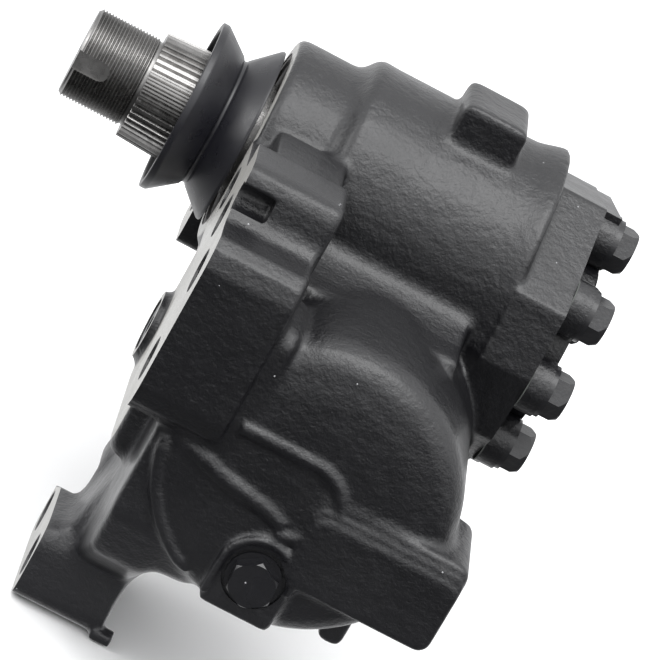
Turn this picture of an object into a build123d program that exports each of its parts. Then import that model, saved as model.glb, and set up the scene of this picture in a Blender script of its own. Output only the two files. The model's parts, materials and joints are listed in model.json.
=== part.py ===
from build123d import *
import math
import os

# Integral hydraulic power steering gear of a heavy truck.
# Millimetres, +Z up. X is the sector (output) shaft axis, the output end points to -X.
# The piston and the input shaft lie along Y, the input shaft leaves at +Y.
# The origin is on the sector shaft axis in the plane of the frame mounting faces.

os.makedirs("parts", exist_ok=True)

# ---------------------------------------------------------------- driving dimensions
CYL_X = 81.0               # piston axis
CYL_Z = -77.0
CYL_R = 66.0
CYL_FRONT = -146.0         # closed end
CYL_BACK = 118.0           # valve housing joint face
BORE_R = 52.1
BORE_FRONT = -128.0

TRUNNION_R = 50.0          # collar around the output seal
SECTOR_HOUSING_R = 57.4
FLANGE_X0 = 127.0
FLANGE_X1 = 151.0
CHAMBER_R = 45.0
CHAMBER_X0 = 50.0
CHAMBER_X1 = 118.0
OPENING_R = 41.1
OPENING_Z = -14.5
MOUTH_R = 42.0
MOUTH_DEPTH = 3.0
SEAL_BORE_R = 40.0
RACE_BORE_R = 38.0
RACE_X0 = 17.0

JOURNAL_R = 26.5
TAIL_R = 18.0              # journal in the side cover
SHAFT_END = -82.0
THREAD_END = -53.0
THREAD_R = 21.0
THREAD_PITCH = 1.5
SPLINE_X0 = -51.0
SPLINE_X1 = -27.0
SPLINE_R0 = 25.0
SPLINE_R1 = 26.3
SPLINE_TEETH = 48
SLOT_LENGTH = 16.0
SLOT_WIDTH = 8.7

MODULE = 7.6
GEAR_TEETH = 10            # teeth of the full circle, the sector carries four
PRESSURE = math.radians(25.0)
PITCH_R = MODULE * GEAR_TEETH / 2
TOOTH_PITCH = math.pi * MODULE
BACKLASH = 0.10
ADDENDUM = 0.75 * MODULE
DEDENDUM = 0.855 * MODULE
SECTOR_X0 = 53.0
SECTOR_X1 = 109.0

PISTON_R = 52.0
PISTON_HALF = 76.0
LAND_HALF = 58.0
RING_GROOVE_R = 48.0
RING_Y = -70.0
RING_W = 4.0

LEAD = 12.0
BALL_R = 3.572
TRACK_R = 3.65
BALL_CIRCLE_R = 15.8
WORM_R = 15.2
NUT_R = 16.4
NUT_Y0 = 4.0
NUT_Y1 = 72.0
WORM_TIP = -30.0
WORM_END = 106.0
COLLAR_R = 27.0
COLLAR_Y0 = 122.0
COLLAR_Y1 = 128.0
WASHER_T = 1.4
THRUST_STACK = 6.65        # two washers and the rollers between them

VALVE_R = 58.0
VALVE_END = 192.0
SLEEVE_R = 24.0
SLEEVE_BORE_R = 15.0
SLEEVE_Y0 = 145.0
SLEEVE_Y1 = 183.0
SPOOL_R = 14.95
INPUT_R = 13.0
INPUT_END = 238.0
INPUT_SPLINE_R = 11.2
TORSION_R = 4.0

COVER_X1 = 160.0
COVER_BOSS_X1 = 164.0      # boss around the adjusting screw
COVER_STEP = 1.5           # the middle of the cover stands out by this much
COVER_CROWN = ((-50, 39), (9, 50), (9, 20), (-50, 10))
BLEED = (-30, -30)
COVER_HUB_R = 26.3
BOLT_CIRCLE_R = 53.0
BOLT_CIRCLE_Z = -17.5
BOLT_ANGLES = (87, 37, -3, -46, -91, -136, 177, 132)
BOLT_R = 6.0
BOLT_TIP = 137.0           # clear of the piston bore
BOLT_HOLE_END = 135.5
BOLT_AF = 19.0
BOLT_HEAD = 10.5           # washer face and head together
BOLT_WASHER_R = 12.0
BOLT_WASHER_T = 2.4
LOBE_R = 13.0

MOUNT_HOLE_R = 9.2
MOUNT_DEPTH = 24.0
MOUNT_HOLES = ((60, -3), (95, -3), (126, -18), (126, -62), (25, -190), (73, -190), (-98, -66))
PLATE_X0 = 4.0             # face around the side plug, set back from the mounting plane
SIDE_PLUG = (25, -88)
PLUG_X = CYL_X - 1.0
PLUG_Z = CYL_Z - 41.0
PLUG_AF = 19.0
GAP = 0.05                 # radial running clearance


# ---------------------------------------------------------------- helpers
# "front" is the distance towards -Y, so that front = -Y.
def x_cyl(radius, x0, x1, front=0.0, z=0.0):
    return Pos((x0 + x1) / 2, -front, z) * Rot(0, 90, 0) * Cylinder(radius, x1 - x0)


def y_cyl(radius, y0, y1, x=CYL_X, z=CYL_Z):
    return Pos(x, (y0 + y1) / 2, z) * Rot(90, 0, 0) * Cylinder(radius, y1 - y0)


def x_tube(outer, inner, x0, x1, front=0.0, z=0.0):
    return x_cyl(outer, x0, x1, front, z) - x_cyl(inner, x0 - 1, x1 + 1, front, z)


def y_tube(outer, inner, y0, y1):
    return y_cyl(outer, y0, y1) - y_cyl(inner, y0 - 1, y1 + 1)


def block(x0, x1, y0, y1, z0, z1):
    return Pos((x0 + x1) / 2, (y0 + y1) / 2, (z0 + z1) / 2) * Box(x1 - x0, y1 - y0, z1 - z0)


def slab(x0, x1, front0, front1, z0, z1, radius, edge=2.0):
    """Block with its X-parallel corners rounded and a softer rim on its +X face."""
    body = block(x0, x1, -front1, -front0, z0, z1)
    body = fillet(body.edges().filter_by(Axis.X), radius)
    return fillet(body.faces().sort_by(Axis.X)[-1].edges(), edge)


def turn_x(points):
    """Solid of revolution about X from (x, r) points."""
    with_axis = [(points[0][0], 0)] + list(points) + [(points[-1][0], 0)]
    outline = make_face(Polyline(*[(x, 0, r) for x, r in with_axis], close=True))
    return revolve(outline, Axis.X, 360)


def turn_y(points):
    """Solid of revolution about the piston axis from (y, r) points."""
    with_axis = [(points[0][0], 0)] + list(points) + [(points[-1][0], 0)]
    corners = [(CYL_X, y, CYL_Z + r) for y, r in with_axis]
    outline = make_face(Polyline(*corners, close=True))
    return revolve(outline, Axis((CYL_X, 0, CYL_Z), (0, 1, 0)), 360)


def ring_x(points):
    """Solid of revolution about X from a closed (x, r) outline off the axis."""
    outline = make_face(Polyline(*[(x, 0, r) for x, r in points], close=True))
    return revolve(outline, Axis.X, 360)


def ring_y(points):
    corners = [(CYL_X, y, CYL_Z + r) for y, r in points]
    outline = make_face(Polyline(*corners, close=True))
    return revolve(outline, Axis((CYL_X, 0, CYL_Z), (0, 1, 0)), 360)


def yz_prism(points, x0, x1):
    """Prism along X from (front, z) points."""
    outline = make_face(Polyline(*[(x0, -front, z) for front, z in points], close=True))
    return extrude(outline, amount=x1 - x0, dir=(1, 0, 0))


def hexagon_x(across_flats, x0, x1, front, z, turn=0.0):
    profile = RegularPolygon(across_flats / 2, 6, major_radius=False)
    return extrude(Pos(x0, -front, z) * Rot(0, 90, 0) * Rot(0, 0, turn) * profile, amount=x1 - x0,
                   dir=(1, 0, 0))


def hexagon_y(across_flats, y0, y1, x, z, turn=0.0):
    profile = RegularPolygon(across_flats / 2, 6, major_radius=False)
    return extrude(Pos(x, y0, z) * Rot(90, 0, 0) * Rot(0, 0, turn) * profile, amount=y1 - y0,
                   dir=(0, 1, 0))


def around_x(item, count, first=0.0):
    return [Rot(first + 360 * i / count, 0, 0) * item for i in range(count)]


def around_piston(item, count, first=0.0):
    axis = Pos(CYL_X, 0, CYL_Z)
    return [axis * Rot(0, first + 360 * i / count, 0) * axis.inverse() * item for i in range(count)]


def bolt_points():
    return [(BOLT_CIRCLE_R * math.cos(math.radians(a)),
             BOLT_CIRCLE_Z + BOLT_CIRCLE_R * math.sin(math.radians(a))) for a in BOLT_ANGLES]


def helical_track(y0, y1, radius):
    turns = (y1 - y0) / LEAD
    path = Helix(pitch=LEAD, height=LEAD * turns, radius=BALL_CIRCLE_R)
    track = sweep(Plane(origin=path @ 0, z_dir=path % 0) * Circle(radius), path=path, is_frenet=True)
    phase = 360 * y0 / LEAD
    return Pos(CYL_X, y0, CYL_Z) * Rot(-90, 0, 0) * Rot(0, 0, phase) * track


def track_point(y):
    turn = math.radians(360 * y / LEAD)
    spot = Pos(CYL_X, y, CYL_Z) * Rot(-90, 0, 0) * Pos(
        BALL_CIRCLE_R * math.cos(turn), BALL_CIRCLE_R * math.sin(turn), 0)
    return spot


def save(name, shape):
    shape.label = name
    export_step(shape, "parts/" + name + ".step")


# ---------------------------------------------------------------- gear housing
FLANGE_OUTLINE = ((-50, 40), (10, 51), (61, 16), (66, -16), (58, -50), (32, -73), (0, -80),
                  (-34, -74), (-58, -50), (-65, -16), (-63, 22))


def sector_barrel():
    barrel = turn_x([(0, 46.5), (1.0, 48.8), (3.5, TRUNNION_R), (29, TRUNNION_R), (33, 51.5),
                     (37, 55.5), (41, 57.0), (116, SECTOR_HOUSING_R + 0.6), (122, 60.0),
                      (FLANGE_X0, 62.0)])
    flange = yz_prism(FLANGE_OUTLINE, FLANGE_X0, FLANGE_X1)
    skirt = loft([make_face(Polyline(*[(x, -f * k, (z + 16) * k - 16) for f, z in FLANGE_OUTLINE],
                                     close=True)) for x, k in ((115, 0.86), (FLANGE_X0, 0.99))])
    return barrel + flange + skirt


def main_cylinder():
    return turn_y([(CYL_FRONT - 3, 30), (CYL_FRONT - 1.5, 45), (CYL_FRONT + 1.5, 58),
                   (CYL_FRONT + 5, 62.5), (CYL_FRONT + 10, 65.2), (CYL_FRONT + 16, CYL_R),
                   (CYL_BACK, CYL_R)])


def saddle():
    """Metal that fills the valley between the sector barrel and the cylinder."""
    return yz_prism([(-60, -20), (50, 2), (56, -2), (62, -8), (68, -11), (76, -13.5), (90, -15),
                     (90, -60), (-60, -60)], 20, FLANGE_X0 - 1)


def joint_lugs():
    """Ears at the open end of the cylinder that take the valve housing bolts."""
    lug = Pos(CYL_X + 66, CYL_BACK - 17, CYL_Z) * Rot(90, 0, 0) * Cylinder(12.5, 34)
    lug += block(CYL_X + 50, CYL_X + 66, CYL_BACK - 34, CYL_BACK, CYL_Z - 12.5, CYL_Z + 12.5)
    return around_piston(lug, 4, 45)


# Outline of the upper and front pads over their whole width, as (front, z).
PAD_OUTLINE = ((84, 29.5), (110, 29.5), (115, 28), (118, 23), (120, 12), (125, 6.5), (134, 6), (143, 6),
               (149, 2), (152, -6), (152, -65), (149, -73), (141, -77), (100, -77), (84, -30))
NECK_OUTLINE = ((24, -178), (34, -112), (96, -80), (141, -80), (141, -125), (130, -149), (110, -162),
                (88, -174), (88, -180))
WEB_OUTLINE = ((60, -112), (96, -80), (140, -80), (140, -125), (130, -144), (105, -155), (60, -157))


def mounting_pads():
    shared = yz_prism(PAD_OUTLINE, 0, 39.5)
    upper = slab(0, 42.5, 84, 117, -30, 29, 6)
    web = slab(8, 40, 44, 90, -30, 27, 6)
    filler = slab(0, 30, 45, 90, -30, 16, 5)
    step = slab(0, 48.5, 100, 148.5, -79, -16, 6)
    plate = slab(PLATE_X0, 30, 6, 106, -120, -28, 12)
    rear = slab(0, 42, -118, -78, -88, -44, 8)
    return shared + upper + web + filler + step + plate + rear


def lower_ear():
    ear = slab(0, 42, 10, 89, -206, -168, 9, 4)
    ear -= yz_prism([(0, -182), (12, -182), (46, -167.9), (46, -160), (0, -160)], -1, 14.9)
    return ear + yz_prism(NECK_OUTLINE, 15, 43) + yz_prism(WEB_OUTLINE, 40, 62)


def cast_bosses():
    top = slab(73.5, 103.5, -10, 28, 40, 69.5, 4, 3)
    side_block = block(88, 158, -150.5, -100, -114, -71)
    side_block = fillet(side_block.edges().filter_by(Axis.Y), 5)
    raised = block(90, 156.5, -153, -120, -112.5, -79.5)
    side_block += fillet(raised.edges().filter_by(Axis.Y), 5)
    heel = block(118.5, 130, -122, -100, -142, -110)
    boss_front = CYL_FRONT - 5
    plug_boss = y_cyl(17.0, boss_front, CYL_FRONT + 24, PLUG_X, PLUG_Z + 2)
    plug_boss += block(PLUG_X - 17, PLUG_X + 17, boss_front, CYL_FRONT + 24, PLUG_Z - 21, PLUG_Z + 2)
    rim = SlotOverall(58, 38) - SlotOverall(48, 28)
    rim = extrude(Pos(70, CYL_FRONT - 4.5, -79) * Rot(90, 0, 0) * rim, amount=12, dir=(0, 1, 0))
    return top + side_block + heel + plug_boss + rim


def housing_cuts():
    cuts = [y_cyl(BORE_R, BORE_FRONT, CYL_BACK + 5)]
    cuts.append(x_cyl(CHAMBER_R, CHAMBER_X0, CHAMBER_X1))
    cuts.append(x_cyl(OPENING_R, CHAMBER_X1 - 1, FLANGE_X1 + 5, 0, OPENING_Z))
    cuts.append(x_cyl(RACE_BORE_R, RACE_X0, CHAMBER_X0 + 1))
    cuts.append(x_cyl(SEAL_BORE_R, MOUTH_DEPTH, RACE_X0 + 0.5))
    cuts.append(x_cyl(MOUTH_R, -5, MOUTH_DEPTH + 0.1))
    cuts += [x_cyl(MOUNT_HOLE_R, -5, MOUNT_DEPTH, f, z) for f, z in MOUNT_HOLES]
    cuts += [x_cyl(BOLT_R + 0.02, BOLT_HOLE_END, FLANGE_X1 + 5, f, z) for f, z in bolt_points()]
    bolt_hole = Pos(CYL_X + 66, CYL_BACK - 12, CYL_Z) * Rot(90, 0, 0) * Cylinder(6.02, 34)
    cuts += around_piston(bolt_hole, 4, 45)
    cuts.append(y_cyl(8.02, CYL_FRONT - 10, BORE_FRONT + 3, PLUG_X, PLUG_Z))
    cuts.append(y_cyl(13.6, CYL_FRONT - 10, CYL_FRONT - 3, PLUG_X, PLUG_Z))
    cuts.append(x_cyl(8.02, -5, 34, *SIDE_PLUG))
    return cuts


def gear_housing():
    body = main_cylinder() + sector_barrel() + saddle() + mounting_pads() + lower_ear()
    body = body + cast_bosses() + joint_lugs()
    return body - housing_cuts()


# ---------------------------------------------------------------- side cover group
def side_cover():
    plate = x_cyl(44, FLANGE_X1 + 0.5, COVER_X1 + COVER_STEP, 0, BOLT_CIRCLE_Z)
    plate += yz_prism(COVER_CROWN, FLANGE_X1 + 0.5, COVER_X1 - 1)
    for front, z in bolt_points():
        plate += x_cyl(LOBE_R, FLANGE_X1 + 0.5, COVER_X1, front, z)
    plate += x_cyl(20, COVER_X1, COVER_BOSS_X1)
    plate += x_cyl(COVER_HUB_R, 122, FLANGE_X1 + 1)
    pilot = x_cyl(OPENING_R - 0.1, FLANGE_X1 - 9, FLANGE_X1 + 1, 0, OPENING_Z)
    plate += pilot
    groove = x_tube(OPENING_R + 1, OPENING_R - 3.4, FLANGE_X1 - 6.1, FLANGE_X1 - 2.4, 0, OPENING_Z)
    plate -= groove
    for front, z in bolt_points():
        plate -= x_cyl(BOLT_R + 0.3, FLANGE_X1 - 2, COVER_X1 + 5, front, z)
        plate -= x_cyl(12.4, COVER_X1, COVER_X1 + 5, front, z)
    plate -= x_cyl(24.5, 110, 150)
    plate -= x_cyl(8.02, 140, 180)
    plate -= x_cyl(3.02, 140, 180, *BLEED)
    return plate


def cover_gasket():
    plate = x_cyl(44, FLANGE_X1, FLANGE_X1 + 0.5, 0, BOLT_CIRCLE_Z)
    plate += yz_prism(COVER_CROWN, FLANGE_X1, FLANGE_X1 + 0.5)
    for front, z in bolt_points():
        plate += x_cyl(LOBE_R, FLANGE_X1, FLANGE_X1 + 0.5, front, z)
    plate -= x_cyl(OPENING_R, FLANGE_X1 - 1, FLANGE_X1 + 1, 0, OPENING_Z)
    for front, z in bolt_points():
        plate -= x_cyl(BOLT_R + 0.3, FLANGE_X1 - 1, FLANGE_X1 + 1, front, z)
    return plate


def cover_o_ring():
    ring = Rot(0, 90, 0) * Torus(OPENING_R - 1.68, 1.6)
    return Pos(FLANGE_X1 - 4.25, 0, OPENING_Z) * ring


def flange_bolt(front, z, x0, head_x):
    """Hexagon flange bolt: shank, washer face and head with a chamfered top."""
    shank = x_cyl(BOLT_R, x0, head_x, front, z)
    top = head_x + BOLT_HEAD
    washer = x_cyl(BOLT_WASHER_R, head_x, head_x + BOLT_WASHER_T, front, z)
    head = hexagon_x(BOLT_AF, head_x + BOLT_WASHER_T, top, front, z, 30)
    dome = Pos(head_x + BOLT_HEAD / 2, -front, z) * Rot(0, 90, 0) * Cone(15.0, 9.4, BOLT_HEAD)
    return shank + washer + (head & dome)


def side_cover_bolts():
    return Compound(children=[flange_bolt(f, z, BOLT_TIP, COVER_X1) for f, z in bolt_points()])


def adjusting_screw():
    screw = x_cyl(8.0, 148, 171)
    screw += x_cyl(10.5, 141.05, 146)
    screw += x_cyl(6.5, 145, 149)
    return screw - hexagon_x(6, 166, 173, 0, 0)


def adjuster_lock_nut():
    nut = hexagon_x(24, COVER_BOSS_X1, COVER_BOSS_X1 + 6, 0, 0, 30)
    nut = nut & (Pos(COVER_BOSS_X1 + 3, 0, 0) * Rot(0, 90, 0) * Cone(17, 12.4, 6))
    return nut - x_cyl(8.02, 160, 190)


def bleed_screw():
    seat = COVER_X1 + COVER_STEP
    screw = x_cyl(3.0, FLANGE_X1 + 1, seat, *BLEED)
    return screw + hexagon_x(8, seat, seat + 5.5, *BLEED)


# ---------------------------------------------------------------- sector shaft group
def gear_tooth_profile():
    """Involute tooth around the -Z direction as (y, z) points."""
    base = PITCH_R * math.cos(PRESSURE)
    tip = PITCH_R + ADDENDUM
    root = PITCH_R - DEDENDUM
    half = (TOOTH_PITCH / 2 - BACKLASH) / 2 / PITCH_R
    involute = math.tan(PRESSURE) - PRESSURE
    flank = [(root - 3, half + involute + 0.02), (root, half + involute)]
    steps = 8
    for i in range(steps + 1):
        radius = base + (tip - base) * i / steps
        angle = math.acos(min(1.0, base / radius))
        flank.append((radius, half + involute - (math.tan(angle) - angle)))
    right = [(r * math.sin(a), -r * math.cos(a)) for r, a in flank]
    left = [(-y, z) for y, z in reversed(right)]
    return right + left


def sector_teeth():
    tooth = yz_prism([(-y, z) for y, z in gear_tooth_profile()], SECTOR_X0, SECTOR_X1)
    step = 360 / GEAR_TEETH
    teeth = [Rot(step * (i - 1.5), 0, 0) * tooth for i in range(4)]
    root = PITCH_R - DEDENDUM
    web = [(0, 0)] + [(root * math.sin(math.radians(a)), -root * math.cos(math.radians(a)))
                      for a in range(-66, 67, 6)]
    return yz_prism(web, SECTOR_X0, SECTOR_X1) + teeth


def serration():
    rings = []
    for x, outer in ((SPLINE_X0, SPLINE_R0), (SPLINE_X1, SPLINE_R1)):
        points = []
        for i in range(4 * SPLINE_TEETH):
            angle = math.radians(360 * i / (4 * SPLINE_TEETH))
            radius = outer if i % 4 in (0, 1) else outer - 1.5
            points.append((x, radius * math.sin(angle), radius * math.cos(angle)))
        rings.append(make_face(Polyline(*points, close=True)))
    return loft(rings, ruled=True)


def threaded_end():
    turns = int((THREAD_END - SHAFT_END) / THREAD_PITCH)
    core = THREAD_R - 0.92
    points = [(SHAFT_END, core - 0.6)]
    for i in range(turns):
        x = SHAFT_END + 0.9 + i * THREAD_PITCH
        points += [(x, core), (x + 0.62, THREAD_R), (x + 0.82, THREAD_R), (x + 1.44, core)]
    points += [(THREAD_END + 0.4, core), (THREAD_END + 0.6, 19.9), (SPLINE_X0, 19.9)]
    return turn_x(points)


def staking_slot():
    flat = block(SHAFT_END - 1, SHAFT_END + SLOT_LENGTH - SLOT_WIDTH / 2, -24, -18.4,
                 -SLOT_WIDTH / 2, SLOT_WIDTH / 2)
    end = Pos(SHAFT_END + SLOT_LENGTH - SLOT_WIDTH / 2, -21.2, 0) * Rot(90, 0, 0) * Cylinder(
        SLOT_WIDTH / 2, 5.6)
    return Rot(-7, 0, 0) * (flat + end)


def sector_shaft():
    body = turn_x([(SPLINE_X1, SPLINE_R1 - 0.6), (SPLINE_X1 + 1.2, JOURNAL_R), (CHAMBER_X0, JOURNAL_R),
                   (SECTOR_X1, JOURNAL_R), (SECTOR_X1 + 3, 24.0), (SECTOR_X1 + 4, TAIL_R),
                   (147.5, TAIL_R), (148, TAIL_R - 0.5)])
    body = body + threaded_end() + serration() + sector_teeth() - staking_slot()
    body -= x_cyl(10.6, 141, 149)
    body -= x_cyl(3.0, SHAFT_END - 1, SHAFT_END + 9)
    return body


def adjuster_retainer():
    return x_tube(10.55, 6.6, 146.1, 148)


def dust_boot():
    outer = [(-32, 36.5), (-32, 40), (-29, 40), (-16.5, 30.4), (-15.5, 29.4), (-14.2, 30.6), (-3.2, 41),
             (-2.0, 41.0)]
    inner = [(-3.4, 38.4), (-14.2, 28.0), (-15.0, JOURNAL_R + 0.05), (-17.5, JOURNAL_R + 0.05),
             (-29.4, 36.5)]
    return ring_x(outer + inner)


def dirt_seal():
    """Thin lip ring in the mouth of the trunnion."""
    return ring_x([(0.8, 39.2), (0.8, MOUTH_R - 0.02), (2.9, MOUTH_R - 0.02), (2.9, JOURNAL_R + 1.5),
                   (1.9, JOURNAL_R + 0.06), (1.5, JOURNAL_R + 0.06), (2.0, JOURNAL_R + 2.5), (2.0, 38.2)])


def output_seal():
    return ring_x([(4.2, SEAL_BORE_R - 0.02), (13.0, SEAL_BORE_R - 0.02), (13.0, JOURNAL_R + 3.5),
                   (9.0, JOURNAL_R + 0.06), (8.2, JOURNAL_R + 0.06), (6.2, JOURNAL_R + 4),
                   (6.2, SEAL_BORE_R - 2.5), (4.2, SEAL_BORE_R - 2.5)])


def seal_support_ring():
    return x_tube(SEAL_BORE_R - 0.02, JOURNAL_R + 0.4, 13.5, 16.8)


def output_bearing_cup():
    return x_tube(RACE_BORE_R - 0.02, 34.0, RACE_X0 + 0.3, CHAMBER_X0 - 4.5)


def output_bearing_rollers():
    roller = x_cyl(3.6, RACE_X0 + 3.5, CHAMBER_X0 - 5, 30.25)
    return Compound(children=around_x(roller, 18))


def output_bearing_cage():
    cage = x_tube(31.6, 28.9, RACE_X0 + 1.5, CHAMBER_X0 - 3)
    return cage - around_x(x_cyl(3.72, RACE_X0 + 3.3, CHAMBER_X0 - 4.8, 30.25), 18)


def cover_bearing_cup():
    return x_tube(24.48, 23.2, 123.5, 144)


def cover_bearing_rollers():
    roller = x_cyl(2.5, 125.5, 142, 20.6)
    return Compound(children=around_x(roller, 18))


# ---------------------------------------------------------------- rack piston group
def rack_cut():
    tip_z = -PITCH_R + ADDENDUM
    root_z = -PITCH_R - DEDENDUM + 0.5
    half = (TOOTH_PITCH / 2 - BACKLASH) / 2
    tip_half = half - ADDENDUM * math.tan(PRESSURE)
    root_half = half + (DEDENDUM - 0.5) * math.tan(PRESSURE)
    points = [(-LAND_HALF, 0), (-LAND_HALF, tip_z)]
    for i in range(-2, 3):
        centre = i * TOOTH_PITCH
        if i > -2:
            points += [(centre - root_half, root_z), (centre - tip_half, tip_z)]
        if i < 2:
            points += [(centre + tip_half, tip_z), (centre + root_half, root_z)]
    points += [(LAND_HALF, tip_z), (LAND_HALF, 0)]
    return yz_prism(points, CYL_X - 60, CYL_X + 60)


def rack_piston():
    body = turn_y([(-PISTON_HALF, PISTON_R - 3), (-PISTON_HALF + 3, PISTON_R),
                   (PISTON_HALF - 3, PISTON_R),
                   (PISTON_HALF, PISTON_R - 3)])
    body -= rack_cut()
    body -= y_cyl(NUT_R, -64, PISTON_HALF + 1)
    body -= y_cyl(24, NUT_Y1, PISTON_HALF + 1)
    body -= helical_track(NUT_Y0, NUT_Y1 + 4, TRACK_R)
    body -= y_tube(PISTON_R + 1, RING_GROOVE_R, RING_Y, RING_Y + RING_W)
    body -= block(CYL_X - 26, CYL_X + 26, NUT_Y0 + 2, NUT_Y1 - 6, CYL_Z - 60, CYL_Z - 31)
    for x, y in guide_posts():
        body -= Pos(x, y, CYL_Z - 25) * Cylinder(3.9, 24)
    for x, y in clamp_screw_points():
        body -= Pos(x, y, CYL_Z - 28) * Cylinder(3.02, 12)
    return body


def piston_ring():
    return y_tube(BORE_R - 0.03, RING_GROOVE_R + 0.3, RING_Y + 0.1, RING_Y + RING_W - 0.1)


GUIDE_Y = (13.0, 42.0)
GUIDE_SPAN = 15.0


def guide_posts():
    sides = ((-1, 0), (1, GUIDE_SPAN))
    return [(CYL_X + side * 14.5, y + step) for y in GUIDE_Y for side, step in sides]


def clamp_screw_points():
    return [(CYL_X - 17, 27.5), (CYL_X + 17, 42.5)]


def ball_return_guides():
    """Two bent tubes, each leading the balls from one end of a circuit back to its start."""
    guides = []
    for y in GUIDE_Y:
        left = (CYL_X - 14.5, y)
        right = (CYL_X + 14.5, y + GUIDE_SPAN)
        low = CYL_Z - 37.5
        high = CYL_Z - 21.5
        path = FilletPolyline((left[0], left[1], high), (left[0], left[1], low),
                              (right[0], right[1], low), (right[0], right[1], high), radius=6)
        ends = Plane(origin=path @ 0, z_dir=path % 0)
        guides.append(sweep(ends * Circle(3.85), path=path) - sweep(ends * Circle(3.0), path=path))
    return Compound(children=guides)


def guide_clamp():
    strap = block(CYL_X - 21.5, CYL_X + 21.5, 22.0, 48.0, CYL_Z - 42.9, CYL_Z - 41.5)
    for x, y in clamp_screw_points():
        strap += Pos(x, y, CYL_Z - 36.8) * Cylinder(4.5, 11)
        strap -= Pos(x, y, CYL_Z - 38) * Cylinder(3.1, 20)
    return strap


def guide_clamp_screws():
    screws = []
    for x, y in clamp_screw_points():
        shank = Pos(x, y, CYL_Z - 33.5) * Cylinder(3.0, 19)
        head = extrude(Pos(x, y, CYL_Z - 46) * RegularPolygon(4.5, 6, major_radius=False), 3.1)
        screws.append(shank + head)
    return Compound(children=screws)


def recirculating_balls():
    balls = []
    pitch_angle = 2 * math.asin(BALL_R / BALL_CIRCLE_R) * 1.03
    step = LEAD * pitch_angle / (2 * math.pi)
    for start in (10.0, 40.0):
        for i in range(34):
            balls.append(track_point(start + i * step) * Sphere(BALL_R - 0.02))
    return Compound(children=balls)


# ---------------------------------------------------------------- worm and valve group
def worm_shaft():
    body = turn_y([(WORM_TIP, WORM_R - 2), (WORM_TIP + 2, WORM_R), (WORM_END, WORM_R),
                   (COLLAR_Y0, WORM_R), (COLLAR_Y0, COLLAR_R), (COLLAR_Y1, COLLAR_R),
                   (COLLAR_Y1, 19.0), (SLEEVE_Y0 + 5, 19.0)])
    body -= helical_track(WORM_TIP - 8, WORM_END - 2, TRACK_R)
    body -= y_cyl(TORSION_R + 0.5, 70, 160)
    body -= y_cyl(12.1, COLLAR_Y1 + 4, 160)
    return body


def thrust_washer(y0, inner, outer):
    return y_tube(outer, inner, y0, y0 + WASHER_T)


def worm_thrust_washers():
    front = thrust_washer(COLLAR_Y0 - WASHER_T - 0.02, 17.5, 27.0)
    rear = thrust_washer(COLLAR_Y1 + 0.02, 20.0, 27.0)
    return Compound(children=[front, rear])


def housing_thrust_washers():
    front = thrust_washer(COLLAR_Y0 - THRUST_STACK, 17.5, 30.0)
    rear = thrust_washer(COLLAR_Y1 + THRUST_STACK - WASHER_T, 20.0, 30.0)
    return Compound(children=[front, rear])


def thrust_rollers():
    rollers = []
    for y in (COLLAR_Y0 - THRUST_STACK / 2, COLLAR_Y1 + THRUST_STACK / 2):
        roller = Pos(CYL_X + 23.7, y, CYL_Z) * Rot(0, 90, 0) * Cylinder(1.87, 6.0)
        rollers += around_piston(roller, 24)
    return Compound(children=rollers)


def worm_bearing_retainer():
    """Ring screwed into the valve housing that holds the worm and its bearings."""
    front = COLLAR_Y0 - THRUST_STACK - 0.05
    return y_tube(30.98, 17.5, front - 2.2, front)


def valve_sleeve():
    sleeve = y_tube(SLEEVE_R - 0.03, SPOOL_R + GAP, SLEEVE_Y0 + 7, SLEEVE_Y1)
    sleeve += y_tube(SLEEVE_R - 0.03, 19.03, SLEEVE_Y0 - 5, SLEEVE_Y0 + 7.0)
    for y in (156, 166, 176):
        sleeve -= y_tube(SLEEVE_R + 1, SLEEVE_R - 2.0, y, y + 4)
    hole = Pos(CYL_X + 20, 168, CYL_Z) * Rot(0, 90, 0) * Cylinder(2.2, 14)
    sleeve -= around_piston(hole, 6)
    return sleeve


def sleeve_seal_rings():
    return Compound(children=[y_tube(SLEEVE_R - 0.01, SLEEVE_R - 1.9, y + 0.2, y + 1.9)
                              for y in (156, 176)])


def input_shaft():
    body = turn_y([(134.5, 12.0), (SLEEVE_Y0 + 7.5, 12.0), (SLEEVE_Y0 + 7.5, SPOOL_R),
                   (SLEEVE_Y1 - 0.5, SPOOL_R), (SLEEVE_Y1 + 1.5, INPUT_R), (212, INPUT_R),
                   (213, INPUT_SPLINE_R), (INPUT_END - 1.5, INPUT_SPLINE_R),
                   (INPUT_END, INPUT_SPLINE_R - 1.5)])
    tooth = Pos(CYL_X + INPUT_SPLINE_R + 0.15, 225, CYL_Z) * Rot(0, 45, 0) * Box(1.0, 28, 1.0)
    body -= around_piston(tooth, 36)
    slot = Pos(CYL_X + SPOOL_R, 168, CYL_Z) * Box(2.4, 20, 4.2)
    body -= around_piston(slot, 6, 30)
    body -= y_cyl(TORSION_R + 0.5, 130, 215)
    body -= y_tube(INPUT_SPLINE_R + 1, INPUT_SPLINE_R - 1.3, 219, 223)
    return body


def torsion_bar():
    thin = 3.1
    return turn_y([(76, TORSION_R), (92, TORSION_R), (96, thin), (190, thin), (196, TORSION_R),
                   (212, TORSION_R)])


# ---------------------------------------------------------------- valve housing group
def valve_ears():
    ear = Pos(CYL_X + 66, CYL_BACK + 8, CYL_Z) * Rot(90, 0, 0) * Cylinder(12.5, 15)
    ear += block(CYL_X + 40, CYL_X + 66, CYL_BACK + 0.5, CYL_BACK + 15.5, CYL_Z - 12.5, CYL_Z + 12.5)
    return around_piston(ear, 4, 45)


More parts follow.
